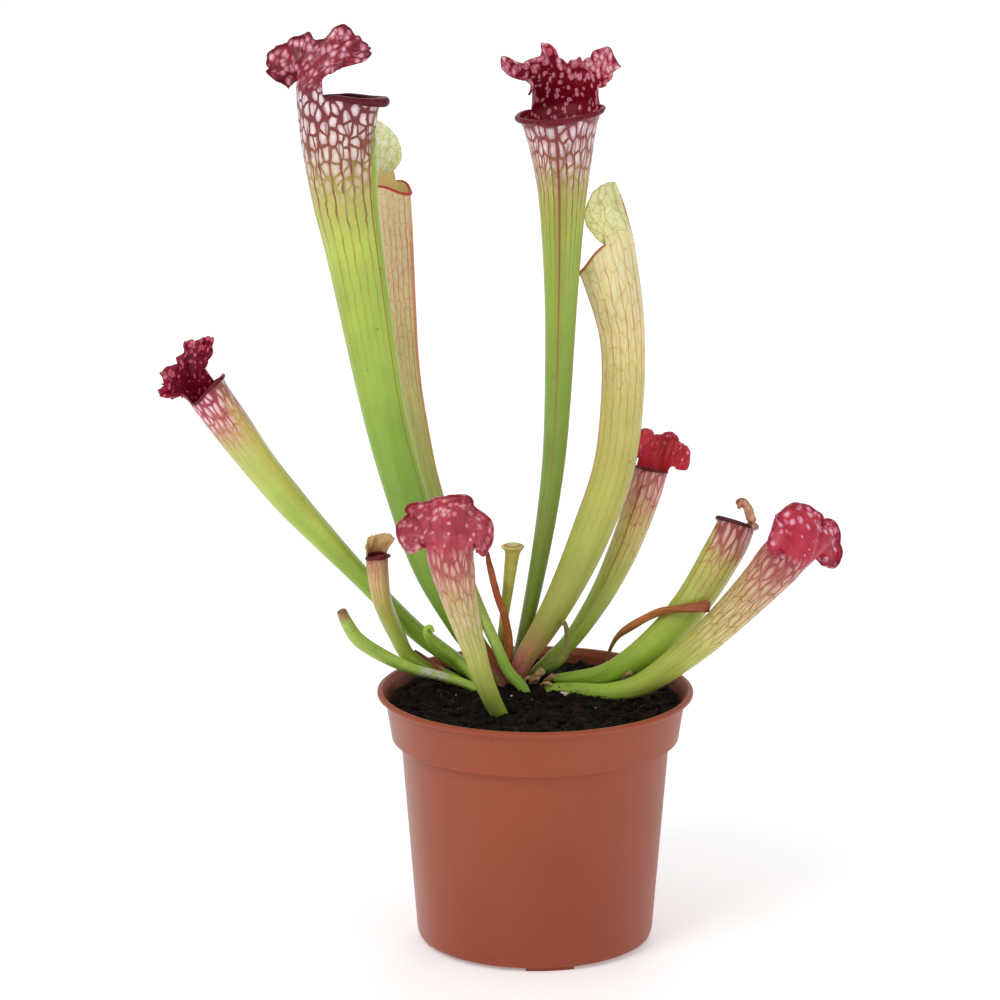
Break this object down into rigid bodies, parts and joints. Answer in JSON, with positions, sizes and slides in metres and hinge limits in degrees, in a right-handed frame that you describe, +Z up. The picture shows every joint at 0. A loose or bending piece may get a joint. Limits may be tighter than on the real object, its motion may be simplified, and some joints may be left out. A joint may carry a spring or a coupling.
{
  "type": "potted plant",
  "caption": "Trumpet pitcher plant with tall hooded tubular leaves, growing from dark peat in a round plastic nursery pot.",
  "frame": {"origin": "middle of the pot's underside, on the surface that the pot stands on", "axes": "+Z up along the pot's axis, -Y towards the front of the plant, +X to its right"},
  "size_m": [0.2566, 0.12, 0.3523],
  "materials": {
    "terracotta_plastic": "satin moulded plastic",
    "peat": "damp crumbly peat",
    "rhizome_bark": "matt brown bark",
    "green_leaf": "waxy leaf, satin",
    "pale_leaf": "waxy leaf, satin",
    "dry_leaf": "dry papery leaf, matt"
  },
  "bodies": {
    "root": {"pot": "terracotta_plastic", "soil": "peat", "rhizome": "rhizome_bark", "tall_left_pitcher": "green_leaf", "tall_middle_pitcher": "green_leaf", "tall_right_pitcher": "pale_leaf", "back_left_pitcher": "pale_leaf", "leaning_left_pitcher": "green_leaf", "front_pitcher": "green_leaf", "back_right_pitcher": "green_leaf", "right_pitcher": "green_leaf", "low_right_pitcher": "green_leaf", "small_left_pitcher": "green_leaf", "cut_green_stalk": "green_leaf", "hooked_green_bud": "green_leaf", "capped_bud": "green_leaf", "dying_bud": "green_leaf", "dry_strap_leaf": "dry_leaf", "withered_pitcher": "dry_leaf", "dead_leaf_scrap": "dry_leaf", "dry_crown_stub": "dry_leaf"}
  },
  "joints": []
}
